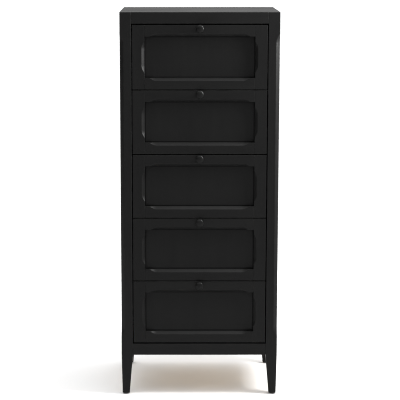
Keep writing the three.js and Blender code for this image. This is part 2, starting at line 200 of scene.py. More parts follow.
def plain_corner(ease, band):
    """An eased square corner as (a, b, wear), with the corner at (0, 0) and the bar below 0."""
    arc = []
    for step in range(EASE_STEPS + 1):
        turn = math.pi / 2 * step / EASE_STEPS
        arc.append((ease * (math.cos(turn) - 1), ease * (math.sin(turn) - 1), 1.0))
    return [(0.0, -ease - band, 0.0), *arc, (-ease - band, 0.0, 0.0)]


def cut_corner(depth, ease, band):
    """The same corner with a chamfer whose two edges are eased."""
    tangent = 0.6 * ease
    slant = tangent / math.sqrt(2)
    near = [(0.0, -depth - tangent), (-slant, slant - depth)]
    middle = (0.25 * near[1][0], -0.5 * depth + 0.25 * (near[0][1] + near[1][1]))
    upper = [(0.0, -depth - tangent - band, 0.0), (*near[0], 0.5), (*middle, 1.0), (*near[1], 0.2)]
    return upper + [(b, a, wear_and_shade) for a, b, wear_and_shade in reversed(upper)]


def corner(depth, ease, band):
    """A corner with a chamfer of any depth, down to none at all."""
    least = 3 * ease
    if depth >= least:
        return cut_corner(depth, ease, band)
    share = depth / least
    pairs = zip(plain_corner(ease, band), cut_corner(least, ease, band))
    return [tuple(p + (q - p) * share for p, q in zip(low, high)) for low, high in pairs]


def eased_end(ease, band):
    """The rings that round off one end of a piece, as (place along it, inset, wear)."""
    return [(0.0, ease + band, 0.0), (0.0, ease, 1.0), (0.3 * ease, 0.3 * ease, 1.0), (ease, 0.0, 1.0)]


def groove_points(groove, edge, sign, first_far):
    """The (place in the face, height of the skin) pairs of a groove (low, high, depth) in a face
    at `edge`, whose outside lies towards `sign`."""
    near, far, depth = groove
    first, last = (far, near) if first_far else (near, far)
    floor = edge - sign * depth
    return [(first, edge), (first, floor), (last, floor), (last, edge)]


def bar(axis, low, high, cuts=None, outline=None, stops=(), ease=EASE, grooves=None):
    """An eased bar along `axis`. `cuts` gives a stopped chamfer to an edge, named by the signs
    of its corner across the axis. `grooves` gives (low, high, depth) to a face, named the same
    way. `outline` gives the four limits across the axis at a place along it, which the bar has
    straight between `stops`."""
    cuts = cuts or {}
    grooves = grooves or {}
    across, up = (axis + 1) % 3, (axis + 2) % 3
    start, end = low[axis], high[axis]
    thinnest = min(high[across] - low[across], high[up] - low[up])
    band = min(WORN_BAND, 0.45 * thinnest - ease)
    if outline is None:
        def outline(_):
            return low[across], high[across], low[up], high[up]
    places = set(stops)
    for _, first, last, runout in cuts.values():
        for step in range(RUNOUT_STEPS + 1):
            places.add(first + runout * step / RUNOUT_STEPS)
            places.add(last - runout * step / RUNOUT_STEPS)
    round_off = [*eased_end(ease, band), (ease + band, 0.0, 0.0)]
    stations = [(start + along, inset, wear_and_shade) for along, inset, wear_and_shade in round_off]
    stations += [(at, 0.0, 0.0) for at in sorted(places)]
    stations += [(end - along, inset, wear_and_shade) for along, inset, wear_and_shade in reversed(round_off)]
    rings = []
    for at, inset, end_wear in stations:
        limits = outline(at)
        ring = []
        for sign_a, sign_b in ((1, 1), (-1, 1), (-1, -1), (1, -1)):
            edge_a = limits[1 if sign_a > 0 else 0] - sign_a * inset
            edge_b = limits[3 if sign_b > 0 else 2] - sign_b * inset
            cut = cuts.get((sign_a, sign_b))
            profile = corner(run_out(cut, at) if cut else 0.0, ease, band)
            if sign_a * sign_b < 0:
                profile = [(a, b, wear_and_shade) for b, a, wear_and_shade in profile]
            ring += [(edge_a + sign_a * a, edge_b + sign_b * b, wear_and_shade) for a, b, wear_and_shade in profile]
            if sign_a * sign_b > 0 and (0, sign_b) in grooves:
                found = groove_points(grooves[0, sign_b], edge_b, sign_b, sign_b > 0)
                ring += [(place, skin, 0.0) for place, skin in found]
            if sign_a * sign_b < 0 and (sign_a, 0) in grooves:
                found = groove_points(grooves[sign_a, 0], edge_a, sign_a, sign_b > 0)
                ring += [(skin, place, 0.0) for place, skin in found]
        rings.append([(spot(axis, at, a, b), max(wear_and_shade, end_wear)) for a, b, wear_and_shade in ring])
    return Shape().add_rings(rings)


def inset_outline(outline, inset):
    """A closed outline, counter-clockwise, moved inwards by `inset`."""
    moved = []
    for i, here in enumerate(outline):
        before, after = outline[i - 1], outline[(i + 1) % len(outline)]
        into = (Vector(here) - Vector(before)).normalized()
        out = (Vector(after) - Vector(here)).normalized()
        normal_in, normal_out = Vector((-into.y, into.x)), Vector((-out.y, out.x))
        bisector = normal_in + normal_out
        moved.append(Vector(here) + bisector * (2 * inset / bisector.length_squared))
    return moved


def eased_plate(axis, outline, low, high, ease):
    """A flat piece: `outline` across `axis`, from `low` to `high`, with eased rims."""
    end = eased_end(ease, WORN_BAND)
    stations = [(low + along, inset, wear_and_shade) for along, inset, wear_and_shade in end]
    stations += [(high - along, inset, wear_and_shade) for along, inset, wear_and_shade in reversed(end)]
    rings = []
    for at, inset, wear_and_shade in stations:
        rings.append([(spot(axis, at, a, b), wear_and_shade) for a, b in inset_outline(outline, inset)])
    return Shape().add_rings(rings)


def flat_plate(axis, outline, low, high):
    """The same with sharp rims, for a bevel to ease."""
    rings = []
    for at in (low, high):
        rings.append([(spot(axis, at, a, b), 0.0) for a, b in outline])
    return Shape().add_rings(rings)


def bevel(made, width=BEVEL_WIDTH):
    """Eases the crisp edges of a made piece."""
    modifier = made.modifiers.new("eased edges", "BEVEL")
    modifier.width = width
    modifier.segments = 2
    modifier.limit_method = "ANGLE"
    modifier.angle_limit = math.radians(25)
    modifier.harden_normals = True


def turned_ring(centre, axis, sign, radius_at, height, segments):
    """Points round `axis`, at `height` along it from `centre`. The radius may follow the angle."""
    ring = []
    for i in range(segments):
        turn = 2 * math.pi * i / segments
        point = list(centre)
        point[axis] += sign * height
        point[(axis + 1) % 3] += radius_at(turn) * math.cos(turn)
        point[(axis + 2) % 3] += radius_at(turn) * math.sin(turn)
        ring.append(point)
    return ring


def turned(profile, centre, axis, sign=1, segments=48):
    """A turned piece. `profile` lists (radius, height, wear) from one end to the other, and
    heights run along `axis` times `sign` from `centre`."""
    rings = []
    for radius, height, wear_and_shade in profile:
        ring = turned_ring(centre, axis, sign, lambda _: radius, height, segments)
        rings.append([(point, wear_and_shade) for point in ring])
    return Shape().add_rings(rings)


def arc_points(centre, radii, start, end, steps, wear_and_shade=0.0):
    """Points (radius, height, wear) on a quarter or less of an ellipse, angles in degrees."""
    found = []
    for step in range(steps + 1):
        turn = math.radians(start + (end - start) * step / steps)
        found.append((centre[0] + radii[0] * math.cos(turn), centre[1] + radii[1] * math.sin(turn), wear_and_shade))
    return found


# ---- Materials ---------------------------------------------------------------------------

PAINT_DARK = (0.0049, 0.0049, 0.0049, 1.0)
PAINT_LIGHT = (0.0061, 0.0061, 0.0060, 1.0)
PAINT_DUSTY = (0.0076, 0.0076, 0.0075, 1.0)
PAINT_RUBBED = (0.015, 0.0148, 0.0145, 1.0)
# Painted shade: darker paint round the rim of each drawer panel, standing in for the shadow where the
# panel meets its frame
PAINT_RIM_SHADE = (0.0030, 0.0030, 0.0030, 1.0)
BARE_STEEL = (0.32, 0.32, 0.33, 1.0)
SIDE_TIMBER = ((0.52, 0.37, 0.22), (0.74, 0.58, 0.39))
PLY_TIMBER = ((0.60, 0.45, 0.29), (0.78, 0.64, 0.46))
PAINT_SPECULAR = 0.088
# Painted shade: weaker reflection in the same band round each drawer panel
RIM_SHADE_SPECULAR = 0.050
KNOB_SPECULAR = 0.09
STEEL_SPECULAR = 0.2


def fill(tree, socket, value):
    """Links another node's output to a socket, or sets a plain value on it."""
    if isinstance(value, bpy.types.NodeSocket):
        tree.links.new(value, socket)
    else:
        socket.default_value = value


class Nodes:
    """A new material and short ways to add nodes to it."""

    def __init__(self, name):
        self.material = bpy.data.materials.new(name)
        self.material.use_nodes = True
        self.tree = self.material.node_tree
        self.shader = self.tree.nodes["Principled BSDF"]
        self.coordinates = self.add("ShaderNodeTexCoord").outputs["Object"]

    def add(self, kind, settings=None, **inputs):
        """A node with its inputs named, or numbered as i0, i1 and so on."""
        node = self.tree.nodes.new(kind)
        for key, value in (settings or {}).items():
            setattr(node, key, value)
        for key, value in inputs.items():
            numbered = key[0] == "i" and key[1:].isdigit()
            fill(self.tree, node.inputs[int(key[1:]) if numbered else key], value)
        return node

    def set(self, **values):
        """Inputs of the material's shader, with _ for each space in a name."""
        for key, value in values.items():
            fill(self.tree, self.shader.inputs[key.replace("_", " ")], value)

    def scaled(self, scale):
        """The object's coordinates times three scales."""
        return self.add("ShaderNodeMapping", Vector=self.coordinates, Scale=scale).outputs["Vector"]

    def noise(self, vector, scale, detail=3.0, roughness=0.5, distortion=0.0):
        node = self.add("ShaderNodeTexNoise", Vector=vector, Scale=scale, Detail=detail,
                        Roughness=roughness, Distortion=distortion)
        return node.outputs["Fac"]

    def ramp(self, value, *stops):
        node = self.add("ShaderNodeValToRGB", Fac=value)
        elements = node.color_ramp.elements
        for _ in stops[2:]:
            elements.new(0.5)
        for element, (position, color) in zip(elements, stops):
            element.position = position
            element.color = (*color, 1.0)
        return node.outputs["Color"]

    def fit(self, value, low, high, from_low=0.3, from_high=0.7):
        """Maps the middle of a noise's range to `low` and `high`."""
        node = self.add("ShaderNodeMapRange", Value=value)
        node.inputs["From Min"].default_value = from_low
        node.inputs["From Max"].default_value = from_high
        node.inputs["To Min"].default_value = low
        node.inputs["To Max"].default_value = high
        return node.outputs["Result"]

    def math(self, operation, a, b):
        return self.add("ShaderNodeMath", {"operation": operation}, i0=a, i1=b).outputs["Value"]

    def blend(self, share, a, b):
        """Colour `a` where the share is 0 and colour `b` where it is 1."""
        node = self.add("ShaderNodeMix", {"data_type": "RGBA"}, i0=share, i6=a, i7=b)
        return node.outputs[2]

    def wear_and_shade(self):
        """The mask that `piece` stores on the mesh: rubbed edges, and round each drawer panel a painted
        shade.
        """
        return self.add("ShaderNodeAttribute", {"attribute_name": "wear_and_shade"}).outputs["Fac"]

    def bump(self, height, strength, distance, below=None):
        node = self.add("ShaderNodeBump", Height=height, Strength=strength, Distance=distance)
        if below is not None:
            self.tree.links.new(below, node.inputs["Normal"])
        return node.outputs["Normal"]


def along(axis, fine, coarse):
    """Scales that draw a pattern out along one axis."""
    return tuple(coarse if i == axis else fine for i in range(3))


def paint_material(axis, panel=False):
    """Black satin paint on wood whose grain runs along `axis`. A panel's mask marks a painted shade round
    it, darker and less reflective paint where the panel meets the frame, and every other piece's mask
    marks rubbed edges."""
    n = Nodes(f"black_satin_paint_{'xyz'[axis]}{'_panel' if panel else ''}")
    grain = n.noise(n.scaled(along(axis, 420.0, 9.0)), 1.0, 4.0, 0.6)
    broad = n.noise(n.scaled(along(axis, 30.0, 2.5)), 1.0, 3.0, 0.55, 0.4)
    peel = n.noise(n.coordinates, 700.0, 2.0)
    cloud = n.noise(n.coordinates, 5.0, 4.0, 0.6)
    tone = n.blend(n.fit(broad, 0.0, 1.0), PAINT_DARK, PAINT_LIGHT)
    tone = n.blend(n.fit(cloud, 0.0, 0.35), tone, PAINT_DUSTY)
    gloss = n.math("ADD", n.fit(cloud, 0.36, 0.47), n.fit(grain, -0.03, 0.03))
    if panel:
        # Painted shade: the mask darkens the paint and weakens its reflection round the panel's rim
        n.set(Base_Color=n.blend(n.wear_and_shade(), tone, PAINT_RIM_SHADE), Roughness=gloss)
        n.set(Specular_IOR_Level=n.fit(n.wear_and_shade(), PAINT_SPECULAR, RIM_SHADE_SPECULAR, 0.0, 1.0))
    else:
        patches = n.fit(n.noise(n.coordinates, 38.0, 5.0, 0.65), 0.0, 0.75, 0.42, 0.72)
        rub = n.math("MULTIPLY", n.wear_and_shade(), patches)
        n.set(Base_Color=n.blend(rub, tone, PAINT_RUBBED))
        n.set(Roughness=n.math("SUBTRACT", gloss, n.math("MULTIPLY", rub, 0.08)))
        n.set(Specular_IOR_Level=PAINT_SPECULAR)
    low = n.bump(broad, 0.06, 0.0012)
    fine = n.bump(grain, 0.10, 0.0004, low)
    n.set(Normal=n.bump(peel, 0.05, 0.0003, fine))
    return n.material


def knob_material():
    """Smoother, glossier black paint on a turned knob."""
    n = Nodes("black_gloss_paint")
    cloud = n.noise(n.coordinates, 26.0, 4.0, 0.6)
    fine = n.noise(n.coordinates, 900.0, 2.0)
    patches = n.fit(n.noise(n.coordinates, 90.0, 4.0, 0.6), 0.0, 0.8, 0.42, 0.7)
    rub = n.math("MULTIPLY", n.wear_and_shade(), patches)
    tone = n.blend(n.fit(cloud, 0.0, 1.0), PAINT_DARK, PAINT_LIGHT)
    n.set(Base_Color=n.blend(rub, tone, PAINT_RUBBED))
    n.set(Roughness=n.fit(cloud, 0.24, 0.34))
    n.set(Specular_IOR_Level=KNOB_SPECULAR)
    n.set(Normal=n.bump(fine, 0.05, 0.0002, n.bump(cloud, 0.05, 0.001)))
    return n.material


def timber_material(name, axis, dark, light, seed):
    """Bare pale timber with its grain along `axis`. `seed` picks the stretch of the pattern."""
    n = Nodes(name)
    place = n.add("ShaderNodeMapping", Vector=n.coordinates, Location=(seed, 0.37 * seed, 1.9 * seed),
                  Scale=along(axis, 1.0, 0.06)).outputs["Vector"]
    bend = n.noise(place, 9.0, 2.0, 0.5)
    rings = n.noise(place, 38.0, 3.0, 0.5, 2.2)
    fibre = n.noise(n.scaled(along(axis, 900.0, 18.0)), 1.0, 3.0, 0.6)
    pores = n.noise(n.scaled(along(axis, 1500.0, 60.0)), 1.0, 1.0, 0.5)
    mixed = n.math("ADD", n.math("MULTIPLY", rings, 0.75), n.math("MULTIPLY", bend, 0.25))
    tone = n.ramp(mixed, (0.34, dark), (0.5, light), (0.66, tuple(0.86 * c for c in light)))
    tone = n.blend(n.fit(fibre, 0.0, 0.22), tone, (*dark, 1.0))
    pore_tone = (*(0.6 * c for c in dark), 1.0)
    n.set(Base_Color=n.blend(n.fit(pores, 0.0, 0.45, 0.62, 0.75), tone, pore_tone))
    n.set(Roughness=n.fit(fibre, 0.5, 0.64))
    n.set(Normal=n.bump(pores, 0.08, 0.0003, n.bump(fibre, 0.15, 0.0004)))
    return n.material


def steel_material(name, axis):
    """Folded steel with a thin black coat, rubbed through to bare metal on its edges."""
    n = Nodes(name)
    rolled = n.noise(n.scaled(along(axis, 1800.0, 25.0)), 1.0, 3.0, 0.6)
    bloom = n.noise(n.coordinates, 60.0, 5.0, 0.65)
    chips = n.fit(n.noise(n.coordinates, 240.0, 5.0, 0.7), 0.0, 1.0, 0.5, 0.62)
    bare = n.math("MULTIPLY", n.math("MULTIPLY", n.wear_and_shade(), 0.6), chips)
    tone = n.ramp(bloom, (0.35, (0.010, 0.010, 0.011)), (0.62, (0.019, 0.019, 0.020)))
    n.set(Base_Color=n.blend(bare, tone, BARE_STEEL))
    n.set(Metallic=bare)
    n.set(Roughness=n.math("ADD", n.fit(bloom, 0.34, 0.48), n.fit(rolled, -0.03, 0.03)))
    n.set(Specular_IOR_Level=STEEL_SPECULAR)
    n.set(Normal=n.bump(rolled, 0.06, 0.0002))
    return n.material


def glide_material():
    """Scuffed dark plastic."""
    n = Nodes("moulded_glide")
    fine = n.noise(n.coordinates, 1100.0, 2.0)
    scuff = n.noise(n.coordinates, 160.0, 5.0, 0.7)
    n.set(Base_Color=n.ramp(scuff, (0.35, (0.045, 0.042, 0.040)), (0.7, (0.085, 0.080, 0.075))))
    n.set(Roughness=n.fit(scuff, 0.5, 0.68))
    n.set(Normal=n.bump(fine, 0.15, 0.0002))
    return n.material


def floor_material():
    """A plain pale floor."""
    n = Nodes("pale_floor")
    faint = n.noise(n.coordinates, 0.8, 2.0)
    n.set(Base_Color=n.ramp(faint, (0.3, (0.66, 0.66, 0.66)), (0.7, (0.68, 0.68, 0.68))))
    n.set(Roughness=n.fit(faint, 0.85, 0.9))
    n.set(Specular_IOR_Level=0.1)
    return n.material


paint = [paint_material(axis) for axis in range(3)]
# Black paint with a painted shade round each drawer panel's rim
panel_paint = paint_material(2, panel=True)
gloss_black = knob_material()
timber = []
for axis, letter in enumerate("xyz"):
    timber.append(timber_material(f"pale_timber_{letter}", axis, *SIDE_TIMBER, 3.1 + axis))
plywood = timber_material("birch_plywood", 0, *PLY_TIMBER, 7.7)
steel = steel_material("black_coated_strip", 1)
screw_steel = steel_material("black_coated_screw", 0)
glide_plastic = glide_material()


# ---- Screws ------------------------------------------------------------------------------

SCREW_SEGMENTS = 48
RECESS_REACH = 7 / 15  # arm of the cross recess, as a share of the head's radius
RECESS_HALF = 11 / 90  # half an arm's width, as the same
KNOB_SCREW_RADIUS = 0.005


def cross_radius(turn, reach, half):
    """How far a cross-shaped recess reaches from its centre in one direction, from the length
    of its arms and half their width."""
    near = turn % (math.pi / 2)
    off = min(near, math.pi / 2 - near)
    inner = half / math.sin(math.pi / 4)
    along_arm = reach / math.cos(off)
    beside = half / max(math.sin(off), 1e-6)
    return max(min(along_arm, beside), min(inner, beside))


def screw_head(shape, centre, axis, sign, radius, height):
    """Adds a pan head with a cross recess that looks along `axis` times `sign`."""
    edge, burr = 0.0002, 0.0001
    wall = 0.35  # share of the height up to which the head is upright
    flat = 0.42  # share of the radius that the top is flat for

    def recess(turn):
        return cross_radius(turn, RECESS_REACH * radius, RECESS_HALF * radius)

    levels = [(lambda _: radius - edge, 0.0, 0.0), (lambda _: radius, edge, 1.0)]
    for step in range(7):
        turn = math.radians(12 * step)
        levels.append((lambda _, t=turn: radius * (wall + (1 - wall) * math.cos(t)),
                       height * (wall + (1 - wall) * math.sin(turn)), 0.0))
    levels.append((lambda _: flat * radius, height, 0.0))
    levels.append((lambda a: recess(a) + burr, height, 1.0))
    levels.append((recess, height - burr, 0.5))
    levels.append((lambda a: 0.75 * recess(a), 0.25 * height, 0.0))
    rings = []
    for radius_at, at, wear_and_shade in levels:
        ring = turned_ring(centre, axis, sign, radius_at, at, SCREW_SEGMENTS)
        rings.append([(point, wear_and_shade) for point in ring])
    shape.add_rings(rings)


# ---- Case --------------------------------------------------------------------------------

def make_post(name, out_x, out_y):
    """A post that tapers into a leg. `out_x` and `out_y` are the signs of its outer corner."""
    low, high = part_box(name)

    def outline(z):
        share = max(0.0, (LEG_TOP - z) / (LEG_TOP - low.z))
        inside, outside = LEG_TAPER_INSIDE * share, LEG_TAPER_OUTSIDE * share
        limits = []
        for edge_low, edge_high, out in ((low.x, high.x, out_x), (low.y, high.y, out_y)):
            off_low, off_high = (inside, outside) if out > 0 else (outside, inside)
            limits += [edge_low + off_low, edge_high - off_high]
        return limits

    opening = (RAIL_TOP + CORNER_PLAIN, TOP_RAIL_LOW - CORNER_PLAIN, FRAME_RUNOUT)
    cuts = {(out_x, -out_y): (SIDE_CHAMFER, *opening)}
    if out_y < 0:
        cuts[(out_x, out_y)] = (POST_CHAMFER, RAIL_TOP + POST_CHAMFER_ABOVE_RAIL,
                                high.z - POST_CHAMFER_BELOW_TOP, POST_RUNOUT)
    shape = bar(2, low, high, cuts, outline, stops=(LEG_TOP,), ease=POST_EASE)
    piece(f"{name}_tapered", shape, paint[2], CASE, "black_paint", name)


def make_posts():
    for side_name, out_x in SIDES:
        for end_name, out_y in (("front", -1), ("back", 1)):
            make_post(f"{end_name}_{side_name}_post", out_x, out_y)


def make_front_rails():
    left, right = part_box("front_left_post")[1].x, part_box("front_right_post")[0].x
    for name in ("front_top_rail", "front_bottom_rail"):
        low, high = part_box(name)
        low.x, high.x = left, right
        shape = bar(0, *shrink(low, high, 0), ease=CASE_RAIL_EASE)
        piece(f"{name}_board", shape, paint[0], CASE, "black_paint", name)


def framed_panel(node, axis, face, chamfered):
    """Top rail, bottom rail and panel for a side or the back. `face` is -1 or 1 for the way it
    looks, and `axis` is the one along its rails."""
    low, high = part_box(node)
    normal = 1 - axis
    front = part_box("front_left_post")[1] if axis == 1 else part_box("back_left_post")[1]
    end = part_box("back_left_post")[0] if axis == 1 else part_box("back_right_post")[0]
    low[axis], high[axis] = front[axis], end[axis]
    top_low, bottom_high = Vector(low), Vector(high)
    top_low.z, bottom_high.z = TOP_RAIL_LOW, RAIL_TOP
    opening = (low[axis] + CORNER_PLAIN, high[axis] - CORNER_PLAIN, FRAME_RUNOUT)
    for part, a, b, up in (("top_rail", top_low, high, -1), ("bottom_rail", low, bottom_high, 1)):
        cuts = {}
        if chamfered:
            signs = (up, face) if axis == 1 else (face, up)
            cuts[signs] = (SIDE_CHAMFER, *opening)
        shape = bar(axis, *shrink(a, b, axis), cuts)
        piece(f"{node}_{part}", shape, paint[axis], CASE, "black_paint", node)
    panel_low, panel_high = Vector(low), Vector(high)
    panel_low.z, panel_high.z = RAIL_TOP + JOINT / 2, TOP_RAIL_LOW - JOINT / 2
    if face > 0:
        panel_high[normal] -= SIDE_RECESS
    else:
        panel_low[normal] += SIDE_RECESS
    shape = bar(2, *shrink(panel_low, panel_high, axis), ease=BOARD_EASE)
    piece(f"{node}_infill", shape, paint[2], CASE, "black_paint", node)


def notched_outline(node):
    """A board's outline from above, with a notch for each post."""
    low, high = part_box(node)
    x_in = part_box("front_right_post")[0].x - JOINT
    front_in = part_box("front_left_post")[1].y + JOINT
    back_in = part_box("back_left_post")[0].y - JOINT
    return [(-x_in, low.y), (x_in, low.y), (x_in, front_in), (high.x, front_in), (high.x, back_in),
            (x_in, back_in), (x_in, high.y), (-x_in, high.y), (-x_in, back_in), (low.x, back_in),
            (low.x, front_in), (-x_in, front_in)]


def make_boards():
    boards = (("top_panel", paint[0], "black_paint"), ("base_panel", timber[0], "pale_timber"))
    for node, material, slot in boards:
        low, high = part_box(node)
        shape = eased_plate(2, notched_outline(node), low.z, high.z, BOARD_EASE)
        piece(f"{node}_board", shape, material, CASE, slot, node)


def glide_profile(radius, height):
    """From the floor of the nail's recess, round the rim and up to the leg."""
    recess, recess_depth, pin = 0.0032, 0.0011, 0.002
    ease, rim, top_rim = 0.0003, 0.0014, 0.0003
    profile = [(0.0004, recess_depth, 0.0), (recess - ease, recess_depth, 0.0),
               (recess, recess_depth - 0.0002, 0.0), (recess, 0.0002, 1.0), (recess + ease, 0.0, 0.0)]
    profile += arc_points((radius - rim, rim), (rim, rim), -90, 0, 6)
    profile += arc_points((radius - top_rim, height - top_rim), (top_rim, top_rim), 0, 90, 3)
    profile.append((pin, height, 0.0))
    return profile


def make_glides():
    for side_name, _ in SIDES:
        for end_name in ("front", "back"):
            node = f"{end_name}_{side_name}_glide"
            low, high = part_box(node)
            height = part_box(f"{end_name}_{side_name}_post")[0].z - JOINT - low.z
            centre = ((low.x + high.x) / 2, (low.y + high.y) / 2, low.z)
            shape = turned(glide_profile((high.x - low.x) / 2, height), centre, 2)
            piece(f"{node}_pad", shape, glide_plastic, CASE, "foot_glide", node)


make_posts()
make_front_rails()
for side_name, out_x in SIDES:
    framed_panel(f"{side_name}_side", 1, out_x, True)
framed_panel("back_panel", 0, 1, False)
make_boards()
make_glides()


# ---- Drawer fronts and knobs -------------------------------------------------------------

def masked_panel(low, high):
    """A panel that looks along -Y, with a mask round its rim for a painted shade where it meets the
    frame.
    """
    ease = THIN_BOARD_EASE
    # The painted shade covers the rim in the frame's groove and a band beyond it
    shade_inset = PANEL_OVERLAP + RIM_SHADE_BAND
    steps = [(high.y, ease), (high.y - ease, 0.0), (low.y + ease, 0.0), (low.y, ease),
             (low.y, shade_inset), (low.y, shade_inset + RIM_SHADE_FADE)]
    rings = []
    for step, (y, inset) in enumerate(steps):
        x0, x1, z0, z1 = low.x + inset, high.x - inset, low.z + inset, high.z - inset
        wear_and_shade = 0.0 if step == len(steps) - 1 else 1.0
        rings.append([((x, y, z), wear_and_shade) for x, z in ((x0, z0), (x1, z0), (x1, z1), (x0, z1))])
    return Shape().add_rings(rings)


def front_frame(drawer):
    """Two stiles and two rails, chamfered round the opening and grooved for the panel, which is
    made with them."""
    node = f"{drawer}_front_frame"
    low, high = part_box(node)
    panel_low, panel_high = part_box(f"{drawer}_front_panel")
    open_low = (panel_low.x + PANEL_OVERLAP, panel_low.z + PANEL_OVERLAP)
    open_high = (panel_high.x - PANEL_OVERLAP, panel_high.z - PANEL_OVERLAP)
    groove = (panel_low.y - JOINT, panel_high.y + JOINT, PANEL_OVERLAP + JOINT)
    upright = (open_low[1] + CORNER_PLAIN, open_high[1] - CORNER_PLAIN, FRAME_RUNOUT)
    level = (open_low[0] + CORNER_PLAIN, open_high[0] - CORNER_PLAIN, FRAME_RUNOUT)
    stiles = (("left_stile", low.x, open_low[0], 1), ("right_stile", open_high[0], high.x, -1))
    for part, x_low, x_high, inward in stiles:
        shape = bar(2, (x_low, low.y, low.z), (x_high, high.y, high.z),
                    {(inward, -1): (FRONT_CHAMFER, *upright)}, grooves={(inward, 0): groove})
        piece(f"{drawer}_{part}", shape, paint[2], drawer, "black_paint", node)
    rails = (("lower_rail", low.z, open_low[1], 1), ("upper_rail", open_high[1], high.z, -1))
    for part, z_low, z_high, inward in rails:
        a, b = shrink((open_low[0], low.y, z_low), (open_high[0], high.y, z_high), 0)
        shape = bar(0, a, b, {(-1, inward): (FRONT_CHAMFER, *level)}, ease=FRONT_RAIL_EASE,
                    grooves={(0, inward): groove})
        piece(f"{drawer}_{part}", shape, paint[0], drawer, "black_paint", node)
    piece(f"{drawer}_panel", masked_panel(panel_low, panel_high), panel_paint, drawer,
          "black_paint", f"{drawer}_front_panel")


def knob_profile(rim, length):
    """From the seat to the crown: a beaded foot, a waist, a flared underside and a dome."""
    foot, waist, dome = 0.008, 0.0065, 0.009
    bead, fillet, lip = 0.001, 0.0007, 0.0012
    waist_top = 0.0053
    under = length - dome
    bead_radius = foot - bead
    profile = [(bead_radius, JOINT, 0.0)]
    profile += arc_points((bead_radius, JOINT + bead), (bead, bead), -90, 90, 8, 0.6)
    profile += arc_points((bead_radius, JOINT + 2 * bead + fillet), (fillet, fillet), 270, 180, 4)[1:]
    profile += [(waist + 0.0003, waist_top - 0.0011, 0.0), (waist, waist_top, 0.0)]
    for step in range(1, FLARE_STEPS + 1):
        turn = math.pi / 2 * step / FLARE_STEPS
        radius = waist + (rim - lip - waist) * (1 - math.cos(turn))
        profile.append((radius, waist_top + (under - waist_top) * math.sin(turn), 0.0))
    profile += arc_points((rim - lip, under + lip), (lip, lip), -90, 0, 6, 1.0)[1:]
    profile += arc_points((0.0, under + lip), (rim, dome - lip), 0, 88, 30)[1:]
    profile.append((0.00015, length, 0.0))
    return profile


def make_knob(drawer):
    """The knob, and the head of its screw behind the front."""
    node = f"{drawer}_knob"
    low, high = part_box(node)
    frame_low, frame_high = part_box(f"{drawer}_front_frame")
    face, seat = frame_low.y, frame_high.y + JOINT
    x, z = (low.x + high.x) / 2, (low.z + high.z) / 2
    profile = knob_profile((high.x - low.x) / 2, face - low.y)
    shape = turned(profile, (x, face, z), 1, -1, KNOB_SEGMENTS)
    piece(f"{drawer}_turned_knob", shape, gloss_black, drawer, "black_metal", node)
    head = Shape()
    screw_head(head, (x, seat, z), 1, 1, KNOB_SCREW_RADIUS, high.y - seat)
    piece(f"{drawer}_knob_screw", head, screw_steel, drawer, "black_steel", node)


# ---- Drawer boxes ------------------------------------------------------------------------

TAILS = 4
TAIL_SPREAD = 0.0024  # how much wider a tail's end is than its root, on each side
PIN_NARROW = 0.009  # width of a pin at the outer face
FRONT_SCREW_IN = 0.060  # from each side of the box
FRONT_SCREW_UP = 0.045  # from its lower and upper edges
FRONT_SCREW_HEAD = (0.0045, 0.0024)  # radius and height


def tail_spans(low, high):
    """(root low, end low, end high, root high) of every tail up a corner."""
    pitch = (high - low) / TAILS
    spans = []
    for i in range(TAILS):
        centre = low + pitch * (i + 0.5)
        end_half = (pitch - PIN_NARROW) / 2
        spans.append((centre - end_half + TAIL_SPREAD, centre - end_half,
                      centre + end_half, centre + end_half - TAIL_SPREAD))
    return spans


def side_outline(low, high):
    """A box side in (y, z) with tails at both ends."""
    root_back, root_front = high.y - BOX_WALL, low.y + BOX_WALL
    outline = [(root_front, low.z), (root_back, low.z)]
    for root_low, end_low, end_high, root_high in tail_spans(low.z, high.z):
        outline += [(root_back, root_low), (high.y, end_low), (high.y, end_high), (root_back, root_high)]
    outline += [(root_back, high.z), (root_front, high.z)]
    for root_low, end_low, end_high, root_high in reversed(tail_spans(low.z, high.z)):
        outline += [(root_front, root_high), (low.y, end_high), (low.y, end_low), (root_front, root_low)]
    return outline


def pin_board(low, high, outer, inner, reach):
    """A board across the box whose pins fill the gaps between the tails. `outer` and `inner`
    are the y of its two faces, and `reach` is how far its pins go past its shoulders."""
    spans = tail_spans(low.z, high.z)
    gap = JOINT / 2
    pins = []
    for below, above in zip([None, *spans], [*spans, None]):
        outer_low = below[2] + gap if below else low.z
        inner_low = below[3] + gap if below else low.z
        outer_high = above[1] - gap if above else high.z
        inner_high = above[0] - gap if above else high.z
        pins.append(((outer_low, outer_high), (inner_low, inner_high)))
    shape = Shape()
    for y, which in ((outer, 0), (inner, 1)):
        heights = [z for pin in pins for z in pin[which]]
        shape.add_face([(low.x, y, z) for z in heights] + [(high.x, y, z) for z in reversed(heights)])
    for z in (low.z, high.z):
        shape.add_face([(low.x, outer, z), (high.x, outer, z), (high.x, inner, z), (low.x, inner, z)])
    for x, tip in ((low.x, low.x - reach), (high.x, high.x + reach)):
        for i in range(len(pins) - 1):
            (_, a), (_, b) = pins[i]
            (c, _), (d, _) = pins[i + 1]
            shape.add_face([(x, outer, a), (x, outer, c), (x, inner, d), (x, inner, b)])
        for (a, b), (c, d) in pins:
            corners = [(outer, a), (outer, b), (inner, d), (inner, c)]
            shape.add_face([(tip, y, z) for y, z in corners])
            for (y1, z1), (y2, z2) in zip(corners, corners[1:] + corners[:1]):
                shape.add_face([(x, y1, z1), (x, y2, z2), (tip, y2, z2), (tip, y1, z1)])
    return shape


